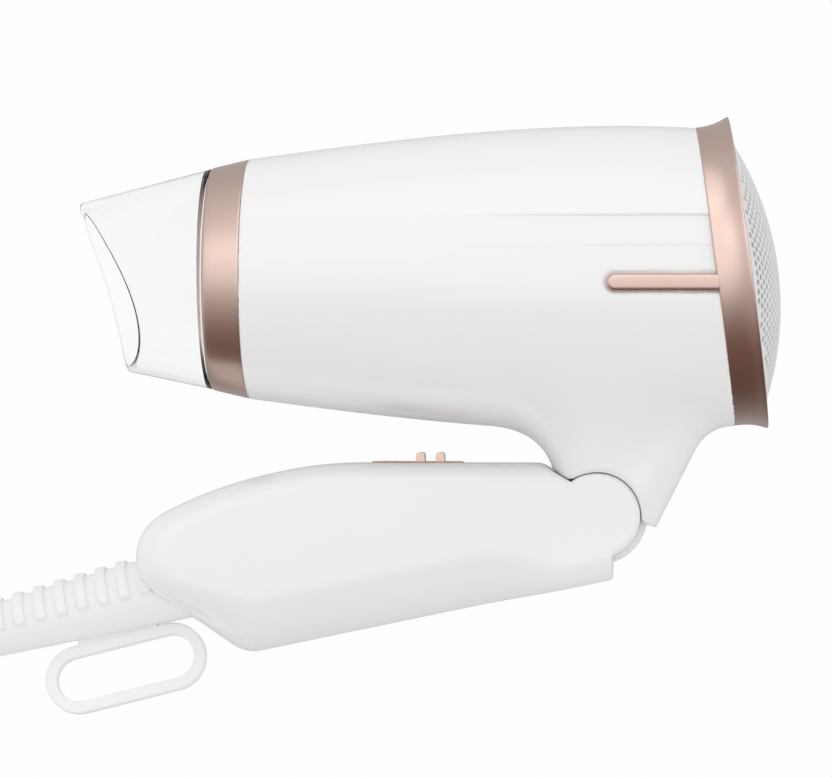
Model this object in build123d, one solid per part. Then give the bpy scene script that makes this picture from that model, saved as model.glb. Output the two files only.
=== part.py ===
from build123d import *
import os
from math import atan2, ceil, cos, degrees, hypot, pi, radians, sin, sqrt, tan

# Folding travel hair dryer, handle folded under the barrel.
# X runs along the barrel from the air outlet (X = 0) to the inlet, Z is up, Y is across. Sizes in mm.

# Barrel
BARREL_LENGTH = 125.5
OUTLET_RADIUS = 30.0
BODY_RADIUS = 38.0
INLET_RADIUS = 36.9
WIDEST_AT = 102.0
OUTLET_SLOPE = 0.135
INLET_SLOPE = -0.08
WALL = 2.0
INLET_TILT = 7.4
INLET_RISE = 0.4

# Front ring and nozzle
FRONT_RING_LENGTH = 9.4
FRONT_RING_RADIUS = 27.8
FRONT_STEP = 5.0
FRONT_STEP_RADIUS = 28.2
RING_BORE = 26.4
NOZZLE_GAP = 0.3
NOZZLE_REACH = 27.0
NOZZLE_RADIUS = 27.6
NOZZLE_WALL = 1.5
MOUTH_HEIGHT = 42.2
MOUTH_WIDTH = 42.0
MOUTH_TILT = 15.4
MOUTH_DROP = 1.7
MOUTH_PINCH = 0.3
MOUTH_CUT_BACK = 2.9
SPIGOT_LENGTH = 7.0

# Rear ring and grille
REAR_RING_DEPTH = 8.3
REAR_RING_FRONT_RADIUS = 37.0
REAR_RING_RADIUS = 39.3
REAR_RING_BORE = 34.6
RING_WAIST = 1.0
GRILLE_RISE = 7.6
GRILLE_WALL = 1.4
GRILLE_SKIRT = 10.0
HOLE_DIAMETER = 1.9
HOLE_PITCH = 3.2

# Trim bars let into the sides
TRIM_LENGTH = 26.5
TRIM_HEIGHT = 4.3
TRIM_Z = -1.9
TRIM_DEPTH = 1.2
TRIM_PROUD = 0.6

# Neck and hinge
HINGE_X = 96.5
HINGE_Z = -58.6
NECK_FRONT = 86.2
NECK_TIP = 110.75
NECK_HALF_WIDTH = 17.2
NECK_CUT_SLOPE = 29.5
NECK_CUT_OFFSET = 4.07
NECK_REAR_SLOPE = 26.9
FLARE_LENGTH = 16.0
FLARE_HEIGHT = 11.5
FLARE_REAR = 1.5
FLARE_SIDE = 4.0
NECK_ROUNDING = 0.36
TONGUE_RADIUS = 12.3
TONGUE_HALF_WIDTH = 9.5
LEAD_SLOT = 10.0
LEAD_SLOT_ANGLE = 222.0
EAR_RADIUS = 10.5
POCKET_CLEARANCE = 0.5
PIN_RADIUS = 2.0
PIN_CLEARANCE = 0.05
MOVING_GAP = 0.4
FIT_GAP = 0.05

# Handle
HANDLE_HALF_WIDTH = 16.4
HANDLE_TOP = -46.0
HANDLE_WALL = 2.0
HANDLE_EDGE = 6.0
HEEL_X = 9.6
HEEL_Z = -93.7
HEEL_RADIUS = 6.5
SPINE_ANGLE = 11.9
END_ANGLE = 40.9
TOP_BEND_X = 38.0
TOP_BEND_RADIUS = 105.0
NOSE_RADIUS = 8.0

# Slide switch
SWITCH_X = 51.4
SWITCH_LENGTH = 22.6
SWITCH_WIDTH = 11.0
SWITCH_TRAVEL = 8.0
FRAME_PROUD = 0.4
PAD_X = 54.7
PAD_LENGTH = 8.6
PAD_WIDTH = 6.6
RIDGE_HEIGHT = 2.6
RIDGE_LENGTH = 2.15
RIDGE_PITCH = 4.9
SLIDE_GAP = 0.2
KEEPER = 1.2

# Cord entry
RELIEF_X = -11.5
RELIEF_Z = -77.25
RELIEF_SLOPE = 14.2
RELIEF_LENGTH = 62.0
RELIEF_DIAMETER = 17.3
RELIEF_END_DIAMETER = 11.8
CORD_DIAMETER = 6.6
HEAD_DEPTH = 8.0
CLAMP_AT = 15.0
LEAD_RADIUS = 0.95
LEAD_SPREAD = 2.2
LEAD_LEVEL = -55.5
RIB_PITCH = 5.45
RIB_LENGTH = 2.6
RIB_HEIGHT = 1.1
LOOP_LENGTH = 41.2
LOOP_WIDTH = 17.1
LOOP_BAND = 3.0
LOOP_THICKNESS = 3.2
LOOP_ALONG = 14.8
LOOP_GAP = 0.9
LOOP_TILT = 13.0

# Fan, motor and heater
FAN_RADIUS = 31.0
FAN_TIP_GAP = 0.8
FAN_X = 104.0
FAN_DEPTH = 10.0
DUCT_WALL = 1.5
BLADES = 9
BLADE_PITCH = 38.0
HUB_RADIUS = 12.0
SHAFT_RADIUS = 1.15
SHAFT_CLEARANCE = 0.05
MOTOR_RADIUS = 14.0
MOTOR_LENGTH = 26.0
MOTOR_X = 70.0
VANES = 7
LINER_RADIUS = 26.2
LINER_WALL = 0.8
LINER_START = 14.0
LINER_LENGTH = 50.0
MICA_HALF_HEIGHT = 19.3
MICA_THICKNESS = 0.8
MICA_START = LINER_START + 6
MICA_LENGTH = 42.0
TAB_LENGTH = 3.0
COIL_TURNS = 7
COIL_PITCH = 5.0
COIL_WIRE = 1.2
GUARD_DEPTH = 2.5

# Screws
SCREW_RADIUS = 1.4
SCREW_HEAD_RADIUS = 2.7
SCREW_HEAD = 1.6
BOSS_RADIUS = 3.2
NECK_SCREWS = [(92.0, -43.0), (108.5, -43.0)]
HANDLE_SCREWS = [(12.0, -77.0), (74.0, -66.0)]

os.makedirs("parts", exist_ok=True)

SIDE = Plane.XZ
INLET = Plane(
    origin=(BARREL_LENGTH, 0, INLET_RISE),
    x_dir=(0, 1, 0),
    z_dir=(cos(radians(INLET_TILT)), 0, sin(radians(INLET_TILT))),
)
CUT_NORMAL = (sin(radians(NECK_CUT_SLOPE)), cos(radians(NECK_CUT_SLOPE)))
FAR = 200.0
NECK_FLARE_Z = 0.2 - BODY_RADIUS - FLARE_HEIGHT
NECK_TIP_Z = (
    HINGE_Z
    - (NECK_TIP - HINGE_X) * tan(radians(NECK_CUT_SLOPE))
    + NECK_CUT_OFFSET / cos(radians(NECK_CUT_SLOPE))
)
EAR_FACE = TONGUE_HALF_WIDTH + MOVING_GAP
EAR_SPANS = ((-FAR, -EAR_FACE), (EAR_FACE, FAR))
PIN_HALF_LENGTH = HANDLE_HALF_WIDTH - 1.5
FACET = NECK_CUT_OFFSET - MOVING_GAP
SWITCH_BODY_TOP = HANDLE_TOP - HANDLE_WALL - KEEPER - 2 * SLIDE_GAP


def save(shape, node):
    export_step(shape, f"parts/{node}.step", write_pcurves=False)


def tube(outer, inner, start, end):
    """Tube about the X axis."""
    ring = Circle(outer) - Circle(inner)
    return extrude(Plane.YZ.offset(start) * ring, end - start)


def rod(radius, start, end):
    """Solid rod about the X axis."""
    return extrude(Plane.YZ.offset(start) * Circle(radius), end - start)


def across(sketch, low, high):
    """A side-view sketch made solid from Y = low to Y = high."""
    return extrude(Plane.XZ.offset(-low) * sketch, -(high - low))


def crosswise_rod(x, z, radius, low, high):
    """Rod along Y through (x, z)."""
    return across(Pos(x, z) * Circle(radius), low, high)


def half_space(point, normal):
    """Everything on the side of a side-view line that its normal points to."""
    angle = degrees(atan2(normal[1], normal[0]))
    box = Pos(FAR, 0) * Rectangle(2 * FAR, 2 * FAR)
    return across(Pos(*point) * Rot(0, 0, angle) * box, -FAR, FAR)


def left_half(shape):
    return shape & across(Rectangle(2 * FAR, 2 * FAR), -FAR, 0)


def right_half(shape):
    return shape & across(Rectangle(2 * FAR, 2 * FAR), 0, FAR)


# Housing: barrel, neck and hinge tongue, split along the middle


def barrel(inset=0.0):
    """Barrel as a solid of revolution, moved in by inset and cut off square to the tilted inlet."""
    outlet = (FRONT_RING_LENGTH, OUTLET_RADIUS - inset)
    past_inlet = (BARREL_LENGTH + BODY_RADIUS * tan(radians(INLET_TILT)) + 2, INLET_RADIUS - 0.3 - inset)
    widest = (WIDEST_AT, BODY_RADIUS - inset)
    skin = Spline(outlet, widest, past_inlet, tangents=[(1, OUTLET_SLOPE), (1, INLET_SLOPE)])
    outline = skin + Polyline(past_inlet, (past_inlet[0], 0), (outlet[0], 0), outlet)
    body = revolve(SIDE * make_face(outline), axis=Axis.X)
    return split(body, bisect_by=INLET, keep=Keep.BOTTOM)


def flare_share(height):
    """How far up the flare a height is, from 0 at its foot to 1 at the barrel."""
    return min(1.0, max(0.0, height - NECK_FLARE_Z) / FLARE_HEIGHT)


def neck_front(height):
    """X of the neck's front line, which sweeps forward into the barrel."""
    return NECK_FRONT - FLARE_LENGTH * (1 - sqrt(1 - flare_share(height) ** 2))


def neck_section(height, inset):
    """One level section of the neck, wider and longer as it flares into the barrel."""
    spread = flare_share(height) ** 3
    front = neck_front(height) + inset
    rear = NECK_TIP + (height - NECK_TIP_Z) * tan(radians(NECK_REAR_SLOPE)) + FLARE_REAR * spread - inset
    half_width = NECK_HALF_WIDTH + FLARE_SIDE * spread - inset
    corner = min(rear - front, 2 * half_width) * NECK_ROUNDING
    plan = RectangleRounded(rear - front, 2 * half_width, corner)
    return Plane.XY.offset(height) * Pos((front + rear) / 2, 0) * plan


def neck(inset=0.0):
    """Neck from inside the barrel down past the hinge, not yet cut off."""
    shares = [0.96, 0.9, 0.75, 0.5, 0.25, 0.0]
    heights = [NECK_FLARE_Z + share * FLARE_HEIGHT for share in shares]
    heights = heights + [NECK_FLARE_Z - 8, NECK_FLARE_Z - 20]
    flare = loft([neck_section(height, inset) for height in heights])
    top = neck_section(heights[0], inset)
    return flare + extrude(top, 8)


def cut_point(offset):
    """A point on the neck's slanted end, moved by offset away from the hinge."""
    reach = NECK_CUT_OFFSET + offset
    return (HINGE_X + CUT_NORMAL[0] * reach, HINGE_Z + CUT_NORMAL[1] * reach)


def housing_solid(inset=0.0):
    """Barrel and neck together, moved in by inset, the neck cut off along its slanted end."""
    below = neck(inset) & half_space(cut_point(inset), CUT_NORMAL)
    return barrel(inset) + below


def ear_room(radius, side):
    """Cylinder about the hinge, from the tongue's face outward on one side."""
    low = TONGUE_HALF_WIDTH if side > 0 else -FAR
    high = FAR if side > 0 else -TONGUE_HALF_WIDTH
    return crosswise_rod(HINGE_X, HINGE_Z, radius, low, high)


def hinge_tongue():
    """Round tongue of the neck that sits between the handle's ears."""
    return crosswise_rod(HINGE_X, HINGE_Z, TONGUE_RADIUS, -TONGUE_HALF_WIDTH, TONGUE_HALF_WIDTH)


def tongue_room():
    """Hollow inside the tongue with a slot that lets the leads out into the handle."""
    half_width = TONGUE_HALF_WIDTH - WALL
    hollow = crosswise_rod(HINGE_X, HINGE_Z, TONGUE_RADIUS - WALL, -half_width, half_width)
    slot = Pos(HINGE_X, HINGE_Z) * Rot(0, 0, LEAD_SLOT_ANGLE) * Pos(0.75 * TONGUE_RADIUS, 0)
    slot = slot * Rectangle(1.5 * TONGUE_RADIUS, LEAD_SLOT)
    pin_boss = crosswise_rod(HINGE_X, HINGE_Z, PIN_RADIUS + WALL, -half_width, half_width)
    return hollow + across(slot, -half_width, half_width) - pin_boss


def screw_room(x, z, half_width):
    """Thread hole through a boss and the pocket that the head sinks into on the right side."""
    thread = crosswise_rod(x, z, SCREW_RADIUS, WALL - half_width, half_width)
    pocket = crosswise_rod(x, z, SCREW_HEAD_RADIUS + 0.1, half_width - SCREW_HEAD - 1, FAR)
    return thread + pocket


def screw(x, z, half_width):
    """Pan-head screw, driven in from the right side."""
    shank = crosswise_rod(x, z, SCREW_RADIUS, WALL - half_width + 1, half_width - SCREW_HEAD - 1)
    head = crosswise_rod(x, z, SCREW_HEAD_RADIUS, half_width - SCREW_HEAD - 1, half_width - 1)
    slot = across(Pos(x, z) * Rectangle(0.7, 3.4), half_width - 1.8, half_width)
    cross = across(Pos(x, z) * Rectangle(3.4, 0.7), half_width - 1.8, half_width)
    return shank + head - slot - cross


def trim_pill(grow=0.0):
    """Side view of a trim bar: round in front, square where it meets the rear ring."""
    end = BARREL_LENGTH + 0.6
    start = end - TRIM_LENGTH + TRIM_HEIGHT / 2
    bar = Pos((start + end + grow) / 2, TRIM_Z) * Rectangle(end + grow - start, TRIM_HEIGHT + 2 * grow)
    return bar + Pos(start, TRIM_Z) * Circle(TRIM_HEIGHT / 2 + grow)


def trim_bar(side):
    """Bar bent to the barrel's side, a little proud of it."""
    skin = barrel(-TRIM_PROUD) - barrel(TRIM_DEPTH)
    low, high = (0, FAR) if side > 0 else (-FAR, 0)
    return skin & across(trim_pill(), low, high)


def make_housing():
    outer = housing_solid()
    pockets = [ear_room(EAR_RADIUS + POCKET_CLEARANCE, side) for side in (-1, 1)]
    wall_radius = EAR_RADIUS + POCKET_CLEARANCE + WALL
    wall_face = TONGUE_HALF_WIDTH - WALL
    pocket_walls = [
        crosswise_rod(HINGE_X, HINGE_Z, wall_radius, low, high)
        for low, high in ((-FAR, -wall_face), (wall_face, FAR))
    ]
    room = housing_solid(WALL) - pocket_walls
    mouth = rod(OUTLET_RADIUS - WALL, 0, FRONT_RING_LENGTH + 1)
    body = outer - pockets + hinge_tongue() - room - mouth - tongue_room()
    body = body + [crosswise_rod(x, z, BOSS_RADIUS, -FAR, FAR) & outer for x, z in NECK_SCREWS]
    body = body - [screw_room(x, z, NECK_HALF_WIDTH) for x, z in NECK_SCREWS]
    body = body - crosswise_rod(HINGE_X, HINGE_Z, PIN_RADIUS + PIN_CLEARANCE, -FAR, FAR)
    groove = (barrel(-WALL) - barrel(TRIM_DEPTH)) & across(trim_pill(), -FAR, FAR)
    spigot = tube(FRONT_STEP_RADIUS, RING_BORE, FRONT_STEP, FRONT_RING_LENGTH)
    back = tube(OUTLET_RADIUS - WALL + 0.5, RING_BORE, FRONT_RING_LENGTH, FRONT_RING_LENGTH + 1)
    return body - groove + spigot + back


# Rings, grille and guard


def make_front_ring():
    """Hoop with a rounded front edge; its rear half is bored out to slip over the housing's spigot."""
    hoop = Polyline(
        (0, RING_BORE),
        (0, FRONT_RING_RADIUS - 0.5),
        (0.5, FRONT_RING_RADIUS),
        (FRONT_RING_LENGTH, OUTLET_RADIUS),
        (FRONT_RING_LENGTH, FRONT_STEP_RADIUS),
        (FRONT_STEP, FRONT_STEP_RADIUS),
        (FRONT_STEP, RING_BORE),
        close=True,
    )
    return revolve(SIDE * make_face(hoop), axis=Axis.X)


def make_rear_ring():
    """Waisted hoop behind the housing, square to the tilted inlet."""
    front = REAR_RING_FRONT_RADIUS
    waist = ((front + REAR_RING_RADIUS) / 2 - RING_WAIST, REAR_RING_DEPTH * 0.45)
    hoop = ThreePointArc((front, 0), waist, (REAR_RING_RADIUS, REAR_RING_DEPTH))
    rest = Polyline(
        (REAR_RING_RADIUS, REAR_RING_DEPTH),
        (REAR_RING_BORE + 0.6, REAR_RING_DEPTH),
        (REAR_RING_BORE, REAR_RING_DEPTH - 0.6),
        (REAR_RING_BORE, 0),
        (front, 0),
    )
    return INLET * revolve(Plane.XZ * make_face(hoop + rest), axis=Axis.Z)


def grille_spots():
    """Staggered places of the perforations, level with the dome's rim."""
    edge = REAR_RING_BORE - 2.6
    row = HOLE_PITCH * sqrt(3) / 2
    rows = ceil(edge / row)
    columns = ceil(edge / HOLE_PITCH)
    spots = [
        ((column + (line % 2) / 2) * HOLE_PITCH, line * row)
        for line in range(-rows, rows + 1)
        for column in range(-columns, columns + 1)
    ]
    return [spot for spot in spots if hypot(*spot) < edge]


def make_grille():
    """Shallow dome with a skirt that snaps into the rear ring, every hole square to the dome."""
    rim = REAR_RING_BORE - 0.1
    dome_rim = rim - GRILLE_WALL
    dome_radius = (dome_rim**2 + GRILLE_RISE**2) / (2 * GRILLE_RISE)
    centre = REAR_RING_DEPTH + GRILLE_RISE - dome_radius
    inner = dome_radius - GRILLE_WALL
    slope = dome_rim / dome_radius
    inner_rim = (inner * slope, centre + inner * sqrt(1 - slope**2))
    outline = (
        RadiusArc((0, centre + dome_radius), (dome_rim, REAR_RING_DEPTH), dome_radius)
        + Polyline(
            (dome_rim, REAR_RING_DEPTH),
            (rim, REAR_RING_DEPTH),
            (rim, REAR_RING_DEPTH - GRILLE_SKIRT),
            (dome_rim, REAR_RING_DEPTH - GRILLE_SKIRT),
            (dome_rim, inner_rim[1] - 0.6),
            inner_rim,
        )
        + RadiusArc(inner_rim, (0, centre + inner), -inner)
        + Line((0, centre + inner), (0, centre + dome_radius))
    )
    dome = revolve(Plane.XZ * make_face(outline), axis=Axis.Z)
    drills = []
    for x, y in grille_spots():
        direction = Vector(x, y, REAR_RING_DEPTH - centre).normalized()
        start = Vector(0, 0, centre) + direction * (inner - 2)
        drill = Cylinder(HOLE_DIAMETER / 2, GRILLE_WALL + 4, align=(Align.CENTER, Align.CENTER, Align.MIN))
        drills.append(Plane(origin=start, z_dir=direction) * drill)
    return INLET * (dome - drills)


def make_guard():
    """Rings and spokes that keep fingers out of the heater."""
    start = FRONT_RING_LENGTH + 1
    rings = [tube(radius + 0.6, radius - 0.6, start, start + GUARD_DEPTH) for radius in (6.5, 13, 19.5)]
    hub = rod(2.2, start, start + GUARD_DEPTH)
    rim = tube(OUTLET_RADIUS - WALL, LINER_RADIUS - 1.2, start, start + GUARD_DEPTH)
    rim = rim + tube(OUTLET_RADIUS - WALL, LINER_RADIUS, start + GUARD_DEPTH, LINER_START + 2)
    spoke = extrude(Plane.YZ.offset(start) * Pos(0, 13) * Rectangle(1.2, 25), GUARD_DEPTH)
    spokes = [Rot(60 * turn, 0, 0) * spoke for turn in range(6)]
    return rim + hub + rings + spokes


def make_nozzle():
    """Clear tapering nozzle with an egg-shaped slanted mouth, and a spigot that turns in the front ring."""
    body = nozzle_cone(0) - nozzle_cone(NOZZLE_WALL)
    spigot_radius = RING_BORE - PIN_CLEARANCE
    spigot = tube(spigot_radius, spigot_radius - NOZZLE_WALL, -0.5, SPIGOT_LENGTH)
    return body + spigot


def nozzle_cone(inset):
    """Loft from the round collar to the mouth, its sides cut back."""
    tilt = radians(MOUTH_TILT)
    out = Vector(-cos(tilt), 0, -sin(tilt))
    mouth = Plane(origin=(-NOZZLE_REACH, 0, -MOUTH_DROP), x_dir=(0, 1, 0), z_dir=out)
    over = 4.0
    taper = 1 - 0.01 * over
    high = (MOUTH_HEIGHT / 2) * taper - inset
    wide = (MOUTH_WIDTH / 2) * taper - inset
    turns = [2 * pi * step / 12 for step in range(12)]
    points = [(wide * cos(turn) * (1 + MOUTH_PINCH * sin(turn)), high * sin(turn)) for turn in turns]
    rim = mouth.offset(over) * make_face(Spline(*points, periodic=True))
    collar_face = Plane(origin=(-NOZZLE_GAP, 0, 0), x_dir=(0, 1, 0), z_dir=(-1, 0, 0))
    collar = collar_face * Circle(NOZZLE_RADIUS - inset)
    cone = loft([collar, rim])
    bow = (MOUTH_WIDTH / 2) ** 2 / (2 * MOUTH_CUT_BACK)
    cutter = mouth.offset(-bow) * Rot(90, 0, 0) * Cylinder(bow, FAR)
    return cone & cutter


# Fan and motor


def make_impeller():
    """Hub cup with slanted blades, blown toward the outlet."""
    start = FAN_X - FAN_DEPTH / 2
    hollow = rod(HUB_RADIUS - DUCT_WALL, start - 1, start + FAN_DEPTH - DUCT_WALL)
    hub = rod(HUB_RADIUS, start, start + FAN_DEPTH) - hollow
    collar = rod(SHAFT_RADIUS + 1.8, start, start + FAN_DEPTH)
    chord = FAN_DEPTH / cos(radians(BLADE_PITCH)) - 1.2
    middle = (HUB_RADIUS + FAN_RADIUS) / 2
    plate = Box(chord, 1.1, FAN_RADIUS - HUB_RADIUS + 4)
    plate = Pos(FAN_X, 0, middle) * Rot(0, 0, BLADE_PITCH) * plate
    sweep = tube(FAN_RADIUS, HUB_RADIUS - 0.5, start, start + FAN_DEPTH)
    blades = [Rot(360 / BLADES * turn, 0, 0) * (plate & sweep) for turn in range(BLADES)]
    return hub + collar + blades - rod(SHAFT_RADIUS, start - 1, start + FAN_DEPTH + 1)


def make_motor_mount():
    """Duct round the fan, with guide vanes that carry the motor's cup and a flange against the housing."""
    inner = FAN_RADIUS + FAN_TIP_GAP
    duct_end = FAN_X + FAN_DEPTH / 2 + 1
    liner_end = LINER_START + LINER_LENGTH
    wall = DUCT_WALL
    outline = Polyline(
        (liner_end - 3, LINER_RADIUS),
        (liner_end, LINER_RADIUS),
        (MOTOR_X + 10, inner),
        (duct_end, inner),
        (duct_end, inner + wall),
        (MOTOR_X + 10, inner + wall),
        (liner_end, LINER_RADIUS + wall),
        (liner_end - 3, LINER_RADIUS + wall),
        close=True,
    )
    duct = revolve(SIDE * make_face(outline), axis=Axis.X)
    flange = tube(BODY_RADIUS, inner + wall / 2, MOTOR_X + 14, MOTOR_X + 16) & barrel(WALL + FIT_GAP)
    cup = tube(MOTOR_RADIUS + wall, MOTOR_RADIUS, MOTOR_X + 4, MOTOR_X + MOTOR_LENGTH - 2)
    vane = Box(MOTOR_LENGTH - 10, 1.2, inner - MOTOR_RADIUS + wall)
    vane = Pos(MOTOR_X + MOTOR_LENGTH / 2 + 3, 0, (inner + MOTOR_RADIUS + wall) / 2) * vane
    ring = tube(inner + wall / 2, MOTOR_RADIUS + wall / 2, MOTOR_X, duct_end)
    vanes = [Rot(360 / VANES * turn, 0, 0) * (vane & ring) for turn in range(VANES)]
    return duct + flange + cup + vanes


def make_motor():
    """Steel can and the plastic cap that closes its front, bored for the shaft."""
    bore = rod(SHAFT_RADIUS + SHAFT_CLEARANCE, 0, BARREL_LENGTH)
    can = rod(MOTOR_RADIUS, MOTOR_X + 2, MOTOR_X + MOTOR_LENGTH)
    nose = rod(4.5, MOTOR_X + MOTOR_LENGTH, MOTOR_X + MOTOR_LENGTH + 1.2)
    cap = rod(MOTOR_RADIUS - 1, MOTOR_X, MOTOR_X + 2) + rod(4, MOTOR_X - 1.5, MOTOR_X)
    return can + nose - bore, cap - bore


def make_rectifier():
    """Round board in front of the motor with a bridge of four diodes."""
    board_x = MOTOR_X - 3.2
    board = rod(MOTOR_RADIUS - 1, board_x, board_x + 1.2)
    spots = [(5.5 * across_sign, 5.5 * up_sign) for across_sign in (-1, 1) for up_sign in (-1, 1)]
    diodes = Compound(
        [extrude(Plane.YZ.offset(board_x - 3) * Pos(*spot) * Rectangle(5, 2.6), 3) for spot in spots]
    )
    return board, diodes


# Heater


def mica_board(slot_start, slot_end):
    """Mica board on edge, with end tabs that reach the liner and a half slot for its partner."""
    end = MICA_START + MICA_LENGTH
    tab_reach = LINER_RADIUS - LINER_WALL
    blade = Pos((MICA_START + end) / 2, 0) * Rectangle(MICA_LENGTH, 2 * MICA_HALF_HEIGHT)
    tab = Pos(end - TAB_LENGTH / 2, 0) * Rectangle(TAB_LENGTH, 2 * tab_reach - 0.6)
    slot = Pos((slot_start + slot_end) / 2, 0) * Rectangle(slot_end - slot_start, MICA_THICKNESS)
    return across(blade + tab - slot, -MICA_THICKNESS / 2, MICA_THICKNESS / 2)


def make_heater():
    middle = MICA_START + MICA_LENGTH / 2
    upright = mica_board(MICA_START - 1, middle)
    flat = Rot(90, 0, 0) * mica_board(middle, MICA_START + MICA_LENGTH + 1)
    first = middle - TAB_LENGTH / 2 - (COIL_TURNS - 1) * COIL_PITCH / 2
    radius = MICA_HALF_HEIGHT + COIL_WIRE + 0.1
    hoop = Rot(0, 90, 0) * Torus(radius, COIL_WIRE)
    turns = [Pos(first + turn * COIL_PITCH, 0, 0) * hoop for turn in range(COIL_TURNS)]
    return upright, flat, Compound(turns)


def make_thermostat():
    """Bimetal cut-out standing on the flat mica board."""
    base = MICA_THICKNESS / 2
    body = Pos(MICA_START + 26, 8, base + 1.5) * Box(10, 6, 3)
    strip = Pos(MICA_START + 26, 8, base + 3.4) * Box(8, 3.4, 0.8)
    return body + strip


def make_fuse():
    """One-shot thermal fuse lying along the flat mica board."""
    return Pos(0, -8, MICA_THICKNESS / 2 + 1.8) * rod(1.8, MICA_START + 20, MICA_START + 31)


# Handle


def grip_outline():
    """Side view of the grip, run on past the hinge: flat top, arched end, slanted end face, straight spine."""
    past = HINGE_X + EAR_RADIUS
    spine = tan(radians(SPINE_ANGLE))
    away = (-cos(radians(END_ANGLE)), sin(radians(END_ANGLE)))
    centre = (TOP_BEND_X, HANDLE_TOP - TOP_BEND_RADIUS)
    gap = (HEEL_X - centre[0], HEEL_Z - centre[1])
    along = gap[0] * away[0] + gap[1] * away[1]
    reach = sqrt(along**2 - gap[0] ** 2 - gap[1] ** 2 + TOP_BEND_RADIUS**2) - along
    nose = (HEEL_X + away[0] * reach, HEEL_Z + away[1] * reach)
    outline = (
        RadiusArc(nose, (TOP_BEND_X, HANDLE_TOP), TOP_BEND_RADIUS)
        + Polyline(
            (TOP_BEND_X, HANDLE_TOP),
            (past, HANDLE_TOP),
            (past, HEEL_Z + (past - HEEL_X) * spine),
            (HEEL_X, HEEL_Z),
            nose,
        )
    )
    face = make_face(outline)
    face = fillet(face.vertices().sort_by_distance((*nose, 0))[0], NOSE_RADIUS)
    return fillet(face.vertices().sort_by_distance((HEEL_X, HEEL_Z, 0))[0], HEEL_RADIUS)


def grip(inset=0.0):
    """Solid grip moved in by inset, its long edges rounded."""
    outline = offset(grip_outline(), -inset) if inset else grip_outline()
    half_width = HANDLE_HALF_WIDTH - inset
    body = across(outline, -half_width, half_width)
    rims = body.edges().filter_by_position(Axis.Y, half_width - 0.01, half_width + 0.01)
    rims = rims + body.edges().filter_by_position(Axis.Y, -half_width - 0.01, 0.01 - half_width)
    last = body.bounding_box().max.X - 0.01
    rims = [edge for edge in rims if edge.center().X < last]
    return fillet(rims, HANDLE_EDGE - inset)


def neck_room(grow=0.0):
    """What is cut off the grip so that it clears the neck, folded and unfolded."""
    cut = cut_point(-MOVING_GAP)
    drop = tan(radians(NECK_CUT_SLOPE))
    front = neck_front(HANDLE_TOP) - MOVING_GAP
    facet = HINGE_X + FACET
    room = Polyline(
        (front, HANDLE_TOP + 20),
        (front, cut[1] + (cut[0] - front) * drop),
        cut,
        (HINGE_X, HINGE_Z),
        (facet, HINGE_Z - EAR_RADIUS / 2),
        (facet, HEEL_Z),
        (facet + 40, HEEL_Z),
        (facet + 40, HANDLE_TOP + 20),
        close=True,
    )
    face = make_face(room)
    return across(offset(face, grow) if grow else face, -FAR, FAR)


def ear(side):
    """Round ear that carries one end of the hinge pin, its outer edge rounded."""
    disc = crosswise_rod(HINGE_X, HINGE_Z, EAR_RADIUS, EAR_FACE, HANDLE_HALF_WIDTH)
    disc = fillet(disc.edges().group_by(Axis.Y)[-1], 1.0)
    return disc if side > 0 else mirror(disc, about=Plane.XZ)


def relief_frame():
    """Origin where the cord comes out of the grip, Z outward along the cord, Y down."""
    slope = radians(RELIEF_SLOPE)
    return Plane(origin=(RELIEF_X, 0, RELIEF_Z), x_dir=(0, 1, 0), z_dir=(-cos(slope), 0, -sin(slope)))


def make_handle():
    ears = [ear(side) for side in (-1, 1)]
    outer = grip() - neck_room() + ears
    room = grip(HANDLE_WALL) - neck_room(HANDLE_WALL)
    room = room - [crosswise_rod(HINGE_X, HINGE_Z, EAR_RADIUS, low, high) for low, high in EAR_SPANS]
    slot = crosswise_rod(HINGE_X, HINGE_Z, TONGUE_RADIUS + POCKET_CLEARANCE, -EAR_FACE, EAR_FACE)
    body = outer - room - slot
    body = body + [crosswise_rod(x, z, BOSS_RADIUS, -FAR, FAR) & (outer - slot) for x, z in HANDLE_SCREWS]
    body = body - [screw_room(x, z, HANDLE_HALF_WIDTH) for x, z in HANDLE_SCREWS]
    return body


def open_grip(shell):
    """One half of the grip with the cord's way out, the pin's hole and the switch window cut into it."""
    exit_hole = relief_frame() * Cylinder(RELIEF_DIAMETER / 2, 40)
    near_end = half_space((RELIEF_X + 16, RELIEF_Z), (-1, 0))
    pin_hole = crosswise_rod(HINGE_X, HINGE_Z, PIN_RADIUS, -PIN_HALF_LENGTH, PIN_HALF_LENGTH)
    window = Pos(SWITCH_X, 0, HANDLE_TOP) * Box(SWITCH_LENGTH, SWITCH_WIDTH, 3 * HANDLE_WALL)
    return shell - (exit_hole & near_end) - pin_hole - window


# Slide switch


def make_frame():
    """Rose-gold plate let into the top of the grip, slotted for the slider."""
    base = HANDLE_TOP - HANDLE_WALL
    height = HANDLE_WALL + FRAME_PROUD
    plate = Pos(SWITCH_X, 0, base + height / 2) * Box(SWITCH_LENGTH, SWITCH_WIDTH, height)
    plate = chamfer(plate.edges().group_by(Axis.Z)[-1], 0.25)
    length = PAD_LENGTH + SWITCH_TRAVEL + 2 * SLIDE_GAP
    slot = Pos(PAD_X - SWITCH_TRAVEL / 2, 0, base) * Box(length, PAD_WIDTH + 2 * SLIDE_GAP, 3 * height)
    return plate - slot


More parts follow.
